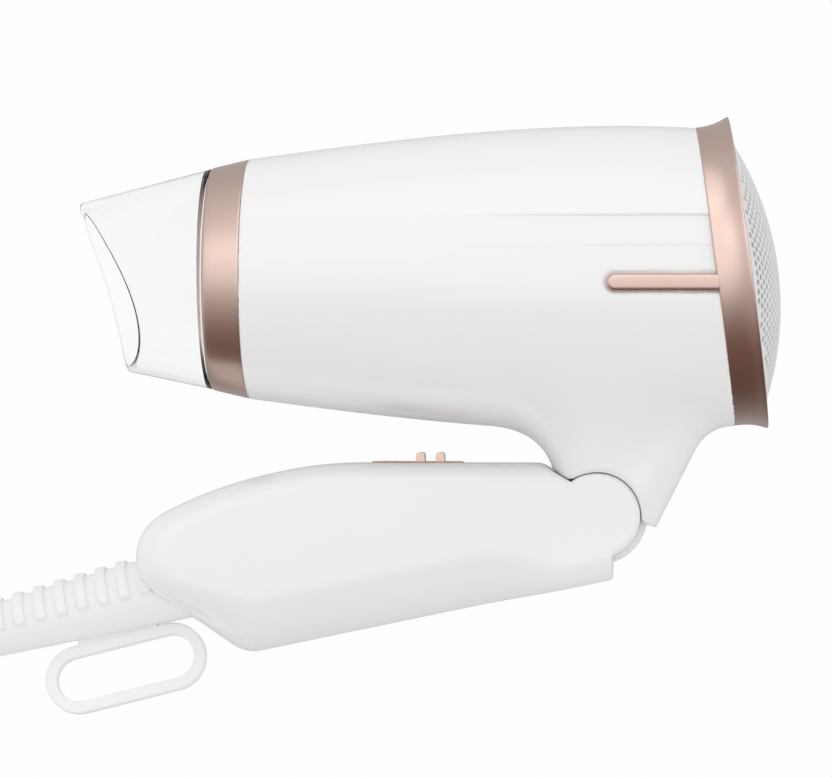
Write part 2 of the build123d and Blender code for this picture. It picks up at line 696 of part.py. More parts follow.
def make_slider():
    """Pad with two ridges, a keeper plate under the frame and a peg that works the switch."""
    top = HANDLE_TOP + FRAME_PROUD - 0.3
    keeper_top = HANDLE_TOP - HANDLE_WALL - SLIDE_GAP
    pad = Pos(PAD_X, 0, (top + keeper_top - 0.5) / 2) * Box(PAD_LENGTH, PAD_WIDTH, top - keeper_top + 0.5)
    keeper = Pos(PAD_X, 0, keeper_top - KEEPER / 2) * Box(PAD_LENGTH + 2, PAD_WIDTH + 3, KEEPER)
    peg = Pos(PAD_X, 0, keeper_top - KEEPER - 1) * Box(3, 3, 2)
    slider = pad + keeper + peg
    for shift in (-RIDGE_PITCH / 2, RIDGE_PITCH / 2):
        ridge = Box(RIDGE_LENGTH, PAD_WIDTH, RIDGE_HEIGHT + 0.2)
        ridge = Pos(PAD_X + shift, 0, top + RIDGE_HEIGHT / 2 - 0.1) * ridge
        ridge = fillet(ridge.edges().group_by(Axis.Z)[-1].filter_by(Axis.Y), RIDGE_LENGTH * 0.4)
        slider = slider + ridge
    return slider


def make_switch_body():
    """Block of the slide switch under its frame, grooved for the slider's peg, with two tabs."""
    block = Pos(SWITCH_X, 0, SWITCH_BODY_TOP - 4.5) * Box(SWITCH_LENGTH, 9.5, 9)
    length = 3 + SWITCH_TRAVEL + 2 * SLIDE_GAP
    groove = Pos(PAD_X - SWITCH_TRAVEL / 2, 0, SWITCH_BODY_TOP) * Box(length, 3 + 2 * SLIDE_GAP, 4.4)
    tabs = [Pos(SWITCH_X + shift, 0, SWITCH_BODY_TOP - 10.5) * Box(0.8, 4.8, 3) for shift in (-6, 0, 6)]
    return block - groove + tabs


# Cord entry


def taper(along):
    share = along / RELIEF_LENGTH
    return (RELIEF_DIAMETER + (RELIEF_END_DIAMETER - RELIEF_DIAMETER) * share) / 2


def make_relief():
    """Tapered boot, half rings on its upper side, with a head that locks behind the grip's end wall."""
    end = taper(RELIEF_LENGTH)
    outline = Polyline(
        (0, -HEAD_DEPTH),
        (taper(0), -HEAD_DEPTH),
        (taper(0), 0),
        (end, RELIEF_LENGTH - 1),
        (end - 1, RELIEF_LENGTH),
        (0, RELIEF_LENGTH),
        close=True,
    )
    boot = revolve(Plane.XZ * make_face(outline), axis=Axis.Z)
    upper = Pos(0, -FAR / 2, 0) * Box(FAR, FAR, FAR)
    for number in range(int(RELIEF_LENGTH / RIB_PITCH) - 1):
        start = RIB_PITCH * (number + 1.2)
        low = taper(start) + RIB_HEIGHT * 0.7
        high = taper(start + RIB_LENGTH) + RIB_HEIGHT
        boot = boot + (Pos(0, 0, start + RIB_LENGTH / 2) * Cone(low, high, RIB_LENGTH) & upper)
    frame = relief_frame()
    head = frame * Pos(0, 0, -HEAD_DEPTH / 2) * Cylinder(taper(0) + 1.6, HEAD_DEPTH)
    bore = frame * Cylinder(CORD_DIAMETER / 2, 3 * RELIEF_LENGTH)
    return frame * boot + (head & grip(HANDLE_WALL)) - bore


def make_loop(relief):
    """Flat hanging loop, tilted a little, on a thin web under the boot."""
    reach = taper(LOOP_ALONG) + LOOP_GAP
    flat = Plane(origin=(0, reach, LOOP_ALONG), x_dir=(0, 0, 1), z_dir=(1, 0, 0))
    middle = Pos(0, -LOOP_WIDTH / 2)
    eye = SlotOverall(LOOP_LENGTH - 2 * LOOP_BAND, LOOP_WIDTH - 2 * LOOP_BAND)
    band = SlotOverall(LOOP_LENGTH, LOOP_WIDTH) - eye
    ring = extrude(middle * band, LOOP_THICKNESS / 2, both=True)
    ring = fillet(ring.edges().filter_by(Plane.XY), 0.5)
    web = Pos(0, LOOP_GAP) * Rectangle(0.5 * LOOP_LENGTH, 3 * LOOP_GAP + 1)
    web = extrude(web, LOOP_THICKNESS / 4, both=True)
    loop = relief_frame() * flat * (Rot(LOOP_TILT, 0, 0) * ring + web)
    return loop - relief


def make_clamp():
    """Saddle that grips the cord inside the handle."""
    block = Pos(0, 0, -CLAMP_AT) * Box(13, 11, 6)
    bore = Cylinder(CORD_DIAMETER / 2, 3 * RELIEF_LENGTH)
    ribs = [Pos(0, side * 6.4, -CLAMP_AT) * Box(4, 1.8, 6) for side in (-1, 1)]
    return relief_frame() * (block + ribs - bore)


def make_handle_leads():
    """Live and neutral leads from the clamp to the switch block."""
    end_x = SWITCH_X - SWITCH_LENGTH / 2
    path = FilletPolyline((7, -72.6), (18, -69.5), (30, LEAD_LEVEL), (end_x, LEAD_LEVEL), radius=7)
    leads = []
    for shift in (-LEAD_SPREAD, LEAD_SPREAD):
        route = Pos(0, shift, 0) * (Plane.XZ * path)
        start = Plane(origin=route @ 0, z_dir=route % 0)
        leads.append(sweep(start * Circle(LEAD_RADIUS), path=route))
    return Compound([solid for lead in leads for solid in lead.solids()])


def make_pin():
    """Steel hinge pin, pressed into the ears and turning in the tongue."""
    pin = crosswise_rod(HINGE_X, HINGE_Z, PIN_RADIUS, -PIN_HALF_LENGTH, PIN_HALF_LENGTH)
    return chamfer(pin.edges().filter_by(GeomType.CIRCLE), 0.3)


def make_screws(spots, half_width):
    return Compound([solid for x, z in spots for solid in screw(x, z, half_width).solids()])


housing = make_housing()
save(right_half(housing), "housing_right_shell")
save(left_half(housing), "housing_left_shell")
save(make_front_ring(), "front_trim_ring")
save(make_rear_ring(), "rear_trim_ring")
save(make_grille(), "inlet_grille")
save(trim_bar(1), "right_trim_bar")
save(trim_bar(-1), "left_trim_bar")
save(make_guard(), "outlet_guard")
save(tube(LINER_RADIUS, LINER_RADIUS - LINER_WALL, LINER_START, LINER_START + LINER_LENGTH), "heat_liner")
upright_mica, flat_mica, coil = make_heater()
save(upright_mica, "mica_board_upright")
save(flat_mica, "mica_board_flat")
save(coil, "heater_coil")
save(make_thermostat(), "thermostat")
save(make_fuse(), "thermal_fuse")
save(make_motor_mount(), "motor_mount")
motor_can, motor_cap = make_motor()
save(motor_can, "motor_can")
save(motor_cap, "motor_end_cap")
board, diodes = make_rectifier()
save(board, "rectifier_board")
save(diodes, "rectifier_diodes")
save(make_screws(NECK_SCREWS, NECK_HALF_WIDTH), "neck_screws")
save(make_impeller(), "impeller")
save(rod(SHAFT_RADIUS, MOTOR_X - 0.5, FAN_X + FAN_DEPTH / 2 + 1.5), "motor_shaft")
save(make_nozzle(), "nozzle")
handle = make_handle()
save(open_grip(right_half(handle)), "handle_right_shell")
save(open_grip(left_half(handle)), "handle_left_shell")
save(make_pin(), "hinge_pin")
save(make_screws(HANDLE_SCREWS, HANDLE_HALF_WIDTH), "handle_screws")
save(make_frame(), "switch_frame")
save(make_slider(), "switch_slider")
save(make_switch_body(), "switch_body")
relief = make_relief()
save(relief, "strain_relief")
save(make_loop(relief), "hanging_loop")
save(make_clamp(), "cord_clamp")
save(make_handle_leads(), "handle_leads")
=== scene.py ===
import math
import bmesh
import bpy
import numpy as np
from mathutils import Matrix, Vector


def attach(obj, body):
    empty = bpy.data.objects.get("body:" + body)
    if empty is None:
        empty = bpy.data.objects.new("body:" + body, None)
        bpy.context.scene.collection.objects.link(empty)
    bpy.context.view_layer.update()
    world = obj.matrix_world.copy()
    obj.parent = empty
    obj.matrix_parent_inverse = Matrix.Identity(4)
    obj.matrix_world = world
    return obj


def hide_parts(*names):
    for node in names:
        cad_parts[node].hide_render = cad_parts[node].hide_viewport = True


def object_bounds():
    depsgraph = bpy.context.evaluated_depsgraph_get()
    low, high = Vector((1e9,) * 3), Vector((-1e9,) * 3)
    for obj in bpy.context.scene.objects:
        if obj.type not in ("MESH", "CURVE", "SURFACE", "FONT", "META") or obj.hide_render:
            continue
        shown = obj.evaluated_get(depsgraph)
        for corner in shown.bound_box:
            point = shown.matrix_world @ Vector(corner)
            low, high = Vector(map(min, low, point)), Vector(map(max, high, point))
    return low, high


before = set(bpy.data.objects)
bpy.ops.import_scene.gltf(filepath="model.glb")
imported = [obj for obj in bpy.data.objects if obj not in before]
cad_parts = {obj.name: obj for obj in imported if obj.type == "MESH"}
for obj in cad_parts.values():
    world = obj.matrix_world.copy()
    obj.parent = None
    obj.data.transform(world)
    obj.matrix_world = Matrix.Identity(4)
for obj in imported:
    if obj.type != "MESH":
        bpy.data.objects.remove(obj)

cad_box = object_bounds()

# Studio: a white surround with a large soft light above and in front, and a pale floor well below the dryer.
# Mirrored, the surround is brightest in front and dim and warm below, so that metal and gloss pick up a dark
# lower band; everything else sees it plain white.

CAMERA_PLACE = (0.109, -0.994, -0.0274)
CAMERA_TURN = math.radians(3.34)
CAMERA_LENS = 172.3
FLOOR_DROP = 0.16
FLOOR_RADIUS = 0.9


def tint(code):
    """Turns an sRGB hex colour into linear red, green, blue and alpha."""
    parts = [int(code[start:start + 2], 16) / 255 for start in (1, 3, 5)]
    return (*[part / 12.92 if part <= 0.04045 else ((part + 0.055) / 1.055) ** 2.4 for part in parts], 1.0)


def add(tree, kind, settings=None, inputs=None):
    """Adds one shader node with its settings; an input is a value or another node's output."""
    node = tree.nodes.new(kind)
    for name, value in (settings or {}).items():
        setattr(node, name, value)
    for name, value in (inputs or {}).items():
        if isinstance(value, bpy.types.NodeSocket):
            tree.links.new(value, node.inputs[name])
        else:
            node.inputs[name].default_value = value
    return node


def build_surround():
    """A white world whose mirrored image has a bright front, a dimmer back and a dark warm foot."""
    world = bpy.data.worlds.new("white surround")
    world.use_nodes = True
    tree = world.node_tree
    tree.nodes.clear()
    place = add(tree, "ShaderNodeTexCoord").outputs["Generated"]
    level = add(tree, "ShaderNodeVectorMath", {"operation": "DOT_PRODUCT"}, {0: place, 1: (0, 0.25, 1.0)})
    height = add(tree, "ShaderNodeMapRange", None, {"Value": level.outputs["Value"], "From Min": -1.0, "From Max": 1.0})
    bands = add(tree, "ShaderNodeValToRGB", None, {"Fac": height.outputs[0]})
    stops = [
        (0.04, (0.25, 0.16, 0.14, 1)), (0.36, (0.98, 0.98, 0.98, 1)),
        (0.7, (1.0, 1.0, 1.0, 1)), (0.97, (0.82, 0.82, 0.82, 1)),
    ]
    for _ in stops[2:]:
        bands.color_ramp.elements.new(0.5)
    for element, (position, colour) in zip(bands.color_ramp.elements, stops):
        element.position = position
        element.color = colour
    ahead = add(tree, "ShaderNodeVectorMath", {"operation": "DOT_PRODUCT"}, {0: place, 1: (0, -0.93, 0.37)})
    glow = add(tree, "ShaderNodeMapRange", {"interpolation_type": "SMOOTHSTEP"}, {
        "Value": ahead.outputs["Value"], "From Min": 0.6, "From Max": 0.97, "To Min": 0.95, "To Max": 1.55})
    behind = add(tree, "ShaderNodeMapRange", None, {
        "Value": ahead.outputs["Value"], "From Min": -1.0, "From Max": 0.3, "To Min": 0.52, "To Max": 1.0})
    power = add(tree, "ShaderNodeMath", {"operation": "MULTIPLY"}, {0: glow.outputs[0], 1: behind.outputs[0]})
    studio = add(tree, "ShaderNodeBackground", None, {"Color": bands.outputs["Color"], "Strength": power.outputs[0]})
    plain = add(tree, "ShaderNodeBackground", None, {"Color": (1, 1, 1, 1), "Strength": 0.99})
    path = add(tree, "ShaderNodeLightPath")
    mirrored = add(tree, "ShaderNodeMath", {"operation": "SUBTRACT", "use_clamp": True}, {
        0: path.outputs["Is Glossy Ray"], 1: path.outputs["Is Transmission Ray"]})
    mix = add(tree, "ShaderNodeMixShader", None, {0: mirrored.outputs[0], 1: plain.outputs[0], 2: studio.outputs[0]})
    add(tree, "ShaderNodeOutputWorld", None, {"Surface": mix.outputs[0]})
    bpy.context.scene.world = world


def build_floor():
    """A round sheet of matt white paper."""
    low = cad_box[0][2] - FLOOR_DROP
    middle = (cad_box[0][0] + cad_box[1][0]) / 2
    sides = 96
    rim = [
        (middle + FLOOR_RADIUS * math.cos(math.tau * step / sides),
         FLOOR_RADIUS * math.sin(math.tau * step / sides), low)
        for step in range(sides)
    ]
    mesh = bpy.data.meshes.new("studio_floor")
    mesh.from_pydata(rim, [], [list(range(sides))])
    paper = bpy.data.materials.new("matt white studio paper")
    paper.use_nodes = True
    tree = paper.node_tree
    grain = add(tree, "ShaderNodeTexNoise", None, {"Scale": 900.0, "Detail": 3.0})
    tone = add(tree, "ShaderNodeMix", {"data_type": "RGBA"}, {
        "Factor": grain.outputs["Fac"], 6: tint("#F1F1F0"), 7: tint("#F6F6F6")})
    shader = tree.nodes["Principled BSDF"]
    shader.inputs["Roughness"].default_value = 0.9
    tree.links.new(tone.outputs[2], shader.inputs["Base Color"])
    mesh.materials.append(paper)
    floor = bpy.data.objects.new("studio_floor", mesh)
    bpy.context.collection.objects.link(floor)
    floor.visible_glossy = False


def soft_light(name, place, aim, size, power):
    """A round soft lamp at a place, turned to face its aim."""
    lamp = bpy.data.lights.new(name, "AREA")
    lamp.shape = "DISK"
    lamp.size = size
    lamp.energy = power
    light = bpy.data.objects.new(name, lamp)
    bpy.context.collection.objects.link(light)
    light.location = place
    light.rotation_euler = (Vector(aim) - Vector(place)).to_track_quat("-Z", "Y").to_euler()


def set_camera():
    """The studio camera, level and a little to the right of square."""
    lens = bpy.data.cameras.new("camera")
    lens.lens = CAMERA_LENS
    lens.sensor_width = 36.0
    camera = bpy.data.objects.new("camera", lens)
    bpy.context.collection.objects.link(camera)
    camera.location = CAMERA_PLACE
    camera.rotation_euler = (math.radians(90), 0, CAMERA_TURN)
    bpy.context.scene.camera = camera


set_camera()
build_surround()
build_floor()
soft_light("overhead_softbox", (0.0, -0.5, 1.1), (0.05, 0, 0), 0.9, 1.25)
soft_light("front_softbox", (-0.5, -1.2, 0.6), (0.05, 0, 0), 0.7, 0.35)
bpy.context.scene.view_settings.view_transform = "Standard"


# Housing: two gloss white ABS halves, barrel and neck in one moulding each, 2 mm thick, screwed together at
# the neck and held by the two rings. The neck ends in a round tongue with a shallow pocket each side for the
# grip's ears. A fine parting line runs along the middle.

RING_END, RING_RADIUS, RING_SLOPE = 9.4, 30.0, 0.135
WIDEST, WIDEST_RADIUS = 102.0, 38.0
WALL = 2.0
HOUSING_FRONT = 5.0
SPIGOT_RADIUS = 28.2
DUCT_BORE, DUCT_END = 26.4, 14.0
INLET_X, INLET_Z, INLET_TILT = 125.5, 0.4, math.radians(7.4)
HINGE_X, HINGE_Z = 96.5, -58.6
CUT_SLOPE = math.radians(29.5)
CUT_OFFSET = 4.07
NECK_FRONT = 86.2
NECK_REAR_X, NECK_REAR_Z, NECK_REAR_SLOPE = 110.75, -62.0, math.radians(26.9)
NECK_HALF_WIDTH, NECK_CORNER = 17.2, 10.0
FLARE_FRONT, FLARE_REAR = 17.0, 6.0
TONGUE_RADIUS, TONGUE_HALF_WIDTH = 12.3, 9.5
EAR_RADIUS = 10.5
NECK_SCREWS = ((92.0, -43.0), (108.5, -43.0))
SCREW_WELL = 2.8
BAR_START, BAR_END = 101.0, 126.0
BAR_HALF = 2.12
BAR_Z = -1.9


def steps(low, high, cell, *fine):
    """Grid lines from low to high a cell apart, and four times closer over the fine spans."""
    lines = [np.arange(low, high + cell, cell)]
    lines += [np.arange(start, end, cell / 4) for start, end in fine]
    return np.unique(np.round(np.concatenate(lines), 3))


def skin(field, axes):
    """Meshes the zero surface of a distance field in mm with one corner in each crossed cell of a grid."""
    cell = np.max(np.diff(axes[0]))
    X, Y, Z = np.meshgrid(*axes, indexing="ij", sparse=True)
    inside = np.broadcast_to(field(X, Y, Z), [len(axis) for axis in axes]) < 0
    size = [len(axis) - 1 for axis in axes]
    count = np.zeros(size, np.int8)
    for dx in (0, 1):
        for dy in (0, 1):
            for dz in (0, 1):
                count += inside[dx:dx + size[0], dy:dy + size[1], dz:dz + size[2]]
    crossed = (count > 0) & (count < 8)
    number = np.full(size, -1, np.int64)
    number[crossed] = np.arange(crossed.sum())
    spots = np.argwhere(crossed)
    points = np.stack([(axes[axis][:-1] + np.diff(axes[axis]) / 2)[spots[:, axis]] for axis in range(3)], 1)
    faces = []
    for axis in range(3):
        one, two = [other for other in range(3) if other != axis]
        lower = [slice(1, -1)] * 3
        upper = [slice(1, -1)] * 3
        lower[axis] = slice(0, -1)
        upper[axis] = slice(1, None)
        here, there = inside[tuple(lower)], inside[tuple(upper)]
        for start, flip in ((here & ~there, axis == 1), (~here & there, axis != 1)):
            edges = np.argwhere(start)
            edges[:, one] += 1
            edges[:, two] += 1
            ring = []
            for back_one, back_two in ((1, 1), (0, 1), (0, 0), (1, 0)):
                cells = edges.copy()
                cells[:, one] -= back_one
                cells[:, two] -= back_two
                ring.append(number[tuple(cells.T)])
            quads = np.stack(ring, 1)
            faces.append(quads[:, ::-1] if flip else quads)
    faces = np.concatenate(faces)
    for _ in range(3):
        points = onto(field, ease(points, faces), cell)
    return onto(field, points, cell), faces


def ease(points, faces):
    """Moves each corner halfway to the mean of its faces' centres."""
    total = np.zeros_like(points)
    share = np.zeros(len(points))
    centres = points[faces].mean(1)
    for corner in range(4):
        np.add.at(total, faces[:, corner], centres)
        np.add.at(share, faces[:, corner], 1)
    return (points + total / np.maximum(share, 1)[:, None]) / 2


def onto(field, points, cell):
    """Pulls points onto the zero surface along the field's slope."""
    step = 0.02
    for _ in range(3):
        value = field(*points.T)
        slope = np.stack([
            (field(*(points + shift).T) - field(*(points - shift).T)) / (2 * step)
            for shift in np.eye(3) * step
        ], 1)
        move = -value[:, None] * slope / np.maximum((slope ** 2).sum(1), 0.2)[:, None]
        points = points + np.clip(move, -cell / 2, cell / 2)
    return points


def round_min(a, b, radius):
    """Union of two distances with a fillet of about the radius."""
    h = np.maximum(radius - np.abs(a - b), 0) / radius
    return np.minimum(a, b) - h * h * radius / 4


def round_max(a, b, radius):
    """Overlap of two distances with a rounded edge of about the radius."""
    return -round_min(-a, -b, radius)


def ease_in(value, start, end):
    """Smooth step from 0 at start to 1 at end."""
    share = np.clip((value - start) / (end - start), 0, 1)
    return share * share * (3 - 2 * share)


def barrel_radius(x):
    """Outside radius of the barrel: straight taper in front that swells to its widest near the fan."""
    front = np.clip((x - RING_END) / (WIDEST - RING_END), -0.2, 1)
    back = np.clip((x - WIDEST) / 30.4, 0, 1)
    rise = (WIDEST - RING_END) * RING_SLOPE
    swell = (2 * front ** 3 - 3 * front ** 2 + 1) * RING_RADIUS + (front ** 3 - 2 * front ** 2 + front) * rise
    swell = swell + (3 * front ** 2 - 2 * front ** 3) * WIDEST_RADIUS
    return swell - (2 * back ** 2 - 0.6 * back ** 3) * 1.0


def from_inlet(x, z):
    """Distance behind the tilted plane where the rear ring meets the housing."""
    return (x - INLET_X) * math.cos(INLET_TILT) + (z - INLET_Z) * math.sin(INLET_TILT)


def past_cut(x, z):
    """Distance above the neck's slanted end."""
    return (x - HINGE_X) * math.sin(CUT_SLOPE) + (z - HINGE_Z) * math.cos(CUT_SLOPE) - CUT_OFFSET


def shell_field(x, y, z, inset):
    """Barrel and neck moved in by inset; the two fine steps along the side fade toward the front."""
    swell = barrel_radius(x) - inset
    fade = ease_in(x, 38.0, 112.0)
    flute = (0.62 * ease_in(-z, -14.9, -14.0) + 0.2 * ease_in(-z, -7.6, -6.7)) * ease_in(z, -9.0, 7.0)
    barrel = np.hypot(y, z) - swell + flute * fade * (inset == 0)
    rear = NECK_REAR_X + (z - NECK_REAR_Z) * math.tan(NECK_REAR_SLOPE) - inset
    front = NECK_FRONT + inset
    middle, half = (front + rear) / 2, (rear - front) / 2
    qx = np.abs(x - middle) - half + NECK_CORNER
    qy = np.abs(y) - NECK_HALF_WIDTH + inset + NECK_CORNER
    neck = np.hypot(np.maximum(qx, 0), np.maximum(qy, 0)) + np.minimum(np.maximum(qx, qy), 0) - NECK_CORNER
    neck = np.maximum(neck, z + 20)
    blend = FLARE_FRONT + (FLARE_REAR - FLARE_FRONT) * ease_in(x, 98.0, 120.0)
    both = round_max(round_min(barrel, neck, blend), inset - past_cut(x, z), 0.6)
    return np.minimum(barrel, both)


def housing_field(x, y, z):
    """Distance to the hollow housing with its tongue, pockets, bar grooves, ring spigot and screw wells."""
    outer = shell_field(x, y, z, 0.0)
    hinge = np.hypot(x - HINGE_X, z - HINGE_Z)
    pocket = np.maximum(hinge - EAR_RADIUS - 0.12, TONGUE_HALF_WIDTH - np.abs(y))
    body = round_max(outer, -pocket, 1.6)
    tongue = np.maximum(hinge - TONGUE_RADIUS, np.abs(y) - TONGUE_HALF_WIDTH)
    body = np.minimum(body, tongue)
    far = np.hypot(y, z)
    room = np.maximum(shell_field(x, y, z, WALL), TONGUE_RADIUS + 0.7 - hinge)
    room = np.minimum(room, np.maximum(far - DUCT_BORE, x - DUCT_END))
    ahead = np.maximum(BAR_START - 0.1 - x, 0)
    groove = np.maximum(np.hypot(ahead, z - BAR_Z) - BAR_HALF - 0.28, barrel_radius(x) - 0.9 - far)
    step = np.maximum(SPIGOT_RADIUS - far, x - RING_END)
    wells = [np.maximum(np.hypot(x - sx, z - sz) - SCREW_WELL, 14.6 - y) for sx, sz in NECK_SCREWS]
    body = round_max(body, -groove, 0.8)
    for cut in (room, step, *wells):
        body = np.maximum(body, -cut)
    return np.maximum(np.maximum(body, from_inlet(x, z) - 0.4), HOUSING_FRONT - x)


def make_piece(name, points, faces, body, material, stands_for=(), sharp=38):
    """Makes one visible piece from points in mm, faces it outward, shades it, and puts it on its body."""
    mesh = bpy.data.meshes.new(name)
    mesh.from_pydata((np.asarray(points) / 1000).tolist(), [], [list(map(int, face)) for face in faces])
    mesh.validate()
    work = bmesh.new()
    work.from_mesh(mesh)
    bmesh.ops.recalc_face_normals(work, faces=work.faces[:])
    work.to_mesh(mesh)
    work.free()
    mesh.shade_smooth()
    mesh.set_sharp_from_angle(angle=math.radians(sharp))
    mesh.materials.append(material)
    piece = bpy.data.objects.new(name, mesh)
    bpy.context.collection.objects.link(piece)
    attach(piece, body)
    if stands_for:
        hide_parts(*stands_for)
    return piece


def cut_in_half(points, faces, side):
    """Keeps one side of Y = 0, closes the cut wall and eases its edge in for the parting line."""
    work = bmesh.new()
    corners = [work.verts.new(point) for point in points]
    for face in faces:
        work.faces.new([corners[index] for index in face])
    everything = work.verts[:] + work.edges[:] + work.faces[:]
    cut = bmesh.ops.bisect_plane(
        work, geom=everything, plane_co=(0, 0, 0), plane_no=(0, side, 0), clear_inner=True, dist=1e-4)
    edges = [item for item in cut["geom_cut"] if isinstance(item, bmesh.types.BMEdge)]
    work.normal_update()
    rim = {vertex for edge in edges for vertex in edge.verts}
    sinks = [(vertex, vertex.normal.copy()) for vertex in rim]
    for vertex, normal in sinks:
        normal.y = 0
        if normal.length > 0.3:
            vertex.co -= normal.normalized() * 0.09
    bmesh.ops.triangle_fill(work, edges=edges, use_beauty=True)
    work.verts.ensure_lookup_table()
    work.verts.index_update()
    found = np.array([vertex.co[:] for vertex in work.verts])
    rings = [[vertex.index for vertex in face.verts] for face in work.faces]
    work.free()
    return found, rings


def start_material(name):
    """A material with its shader, and the object's own coordinates in metres."""
    material = bpy.data.materials.new(name)
    material.use_nodes = True
    tree = material.node_tree
    place = add(tree, "ShaderNodeTexCoord").outputs["Object"]
    return material, tree, tree.nodes["Principled BSDF"], place


def surface(tree, shader, tones, dark, light, gloss, low, high, relief, strength, depth_mm):
    """Wires three patterns into a shader: two tones of colour, a gloss between two values, and a relief."""
    colour = add(tree, "ShaderNodeMix", {"data_type": "RGBA"}, {"Factor": tones, 6: tint(dark), 7: tint(light)})
    rough = add(tree, "ShaderNodeMapRange", None, {"Value": gloss, "To Min": low, "To Max": high})
    bump = add(tree, "ShaderNodeBump", None, {"Height": relief, "Strength": strength, "Distance": depth_mm / 1000})
    tree.links.new(colour.outputs[2], shader.inputs["Base Color"])
    tree.links.new(rough.outputs[0], shader.inputs["Roughness"])
    tree.links.new(bump.outputs[0], shader.inputs["Normal"])


def moulded(name, dark, light, roughness, spread, peel_mm, peel_depth_mm, coat=0.0):
    """Moulded plastic: two close tones in slow clouds, uneven gloss, and the fine skin of the mould."""
    material, tree, shader, place = start_material(name)
    clouds = add(tree, "ShaderNodeTexNoise", None, {"Vector": place, "Scale": 1000 / 45.0, "Detail": 2.0})
    smears = add(tree, "ShaderNodeTexNoise", None, {"Vector": place, "Scale": 1000 / 12.0, "Detail": 4.0})
    peel = add(tree, "ShaderNodeTexNoise", None, {"Vector": place, "Scale": 1000 / peel_mm, "Detail": 2.0})
    surface(tree, shader, clouds.outputs["Fac"], dark, light, smears.outputs["Fac"], roughness - spread,
            roughness + spread, peel.outputs["Fac"], 0.5, peel_depth_mm)
    shader.inputs["IOR"].default_value = 1.5
    shader.inputs["Coat Weight"].default_value = coat
    shader.inputs["Coat Roughness"].default_value = 0.06
    return material


# Gloss injection-moulded ABS: clean white with a clear, slightly wavy reflection.
gloss_abs = moulded("gloss moulded white ABS", "#E9E9E9", "#EDEDED", 0.2, 0.05, 0.9, 0.004, 0.25)

cell = 0.7
housing_points, housing_faces = skin(housing_field, [
    steps(4.0, 132.0, cell), steps(-39.9, 39.9, cell), steps(-72.3, 39.7, cell, (6.0, 8.2), (13.4, 15.4))])
for side, word in ((-1, "left"), (1, "right")):
    half_points, half_faces = cut_in_half(housing_points, housing_faces, side)
    make_piece(f"housing_{word}", half_points, half_faces, "housing", gloss_abs, [f"housing_{word}_shell"])


# Front trim ring: a moulded hoop with a vacuum-metallised rose-gold skin under satin lacquer, pressed over the
# housing's spigot. It is a little coned, with eased edges.

FRONT_RING_PROFILE = [
    (5.2, 26.5), (0.5, 26.45), (0.15, 26.6), (0.0, 26.95), (0.06, 27.45), (0.35, 27.8), (0.8, 27.95),
    (2.5, 28.37), (5.0, 28.95), (7.5, 29.53), (8.8, 29.83), (9.1, 29.9), (9.22, 29.88), (9.34, 29.78), (9.38, 29.5),
    (9.38, 28.3), (5.2, 28.3),
]


def spun(profile, turns=256):
    """Points and faces of a closed profile of (along, radius) spun about the X axis."""
    angles = np.arange(turns) * math.tau / turns
    points = [(x, r * math.sin(a), r * math.cos(a)) for a in angles for x, r in profile]
    rows = len(profile)
    faces = [
        (t * rows + i, t * rows + (i + 1) % rows,
         (t + 1) % turns * rows + (i + 1) % rows, (t + 1) % turns * rows + i)
        for t in range(turns) for i in range(rows)
    ]
    return np.array(points), faces


def metallised(name, dark, light, roughness):
    """Rose-gold metallised plastic: warm metal under a thin lacquer, with a very fine satin stipple."""
    material, tree, shader, place = start_material(name)
    clouds = add(tree, "ShaderNodeTexNoise", None, {"Vector": place, "Scale": 1000 / 18.0, "Detail": 2.0})
    stipple = add(tree, "ShaderNodeTexNoise", None, {"Vector": place, "Scale": 1000 / 0.35, "Detail": 2.0})
    surface(tree, shader, clouds.outputs["Fac"], dark, light, stipple.outputs["Fac"], roughness - 0.04,
            roughness + 0.04, stipple.outputs["Fac"], 0.25, 0.01)
    shader.inputs["Metallic"].default_value = 1.0
    return material


# Vacuum-metallised and lacquered: reads as soft rose-gold metal with broad highlights.
rose_metal = metallised("satin rose gold metallised trim", "#CBB2A8", "#D2BAB0", 0.3)

ring_points, ring_faces = spun(FRONT_RING_PROFILE)
make_piece("front_ring", ring_points, ring_faces, "housing", rose_metal, ["front_trim_ring"], 50)


# Rear trim ring: the wider hoop round the inlet, in the same finish, square to the tilted inlet. Its outside is
# waisted and a thin lip stands proud inside it.

REAR_RING_PROFILE = [
    (-0.12, 35.0), (-0.12, 37.15), (-0.04, 37.3), (0.15, 37.38), (0.5, 37.38), (1.8, 37.4), (3.2, 37.52), (4.6, 37.78),
    (5.8, 38.12), (6.9, 38.55), (7.6, 38.86), (7.95, 38.98), (8.15, 38.98), (8.27, 38.8), (8.28, 38.4), (8.2, 36.3),
    (8.27, 35.7), (8.24, 35.3), (7.95, 34.9), (7.0, 34.72), (0.4, 34.7),
]


def at_inlet(points):
    """Puts points spun about X onto the tilted inlet."""
    c, s = math.cos(INLET_TILT), math.sin(INLET_TILT)
    x, y, z = np.asarray(points).T
    return np.stack([INLET_X + x * c - z * s, y, INLET_Z + x * s + z * c], 1)


ring_points, ring_faces = spun(REAR_RING_PROFILE)
make_piece("rear_ring", at_inlet(ring_points), ring_faces, "housing", rose_metal, ["rear_trim_ring"], 50)


# Trim bars: one slim rose-gold bar let into each side of the barrel, round in front, running back to the ring,
# with a narrow bevel all round its face.


def pill(inset, end):
    """Side outline of a bar moved in by inset, square at the ring."""
    half = BAR_HALF - inset
    nose = [(BAR_START - half * math.sin(math.pi * t / 24), half * math.cos(math.pi * t / 24)) for t in range(25)]
    return [(end, half)] + nose + [(end, -half)]


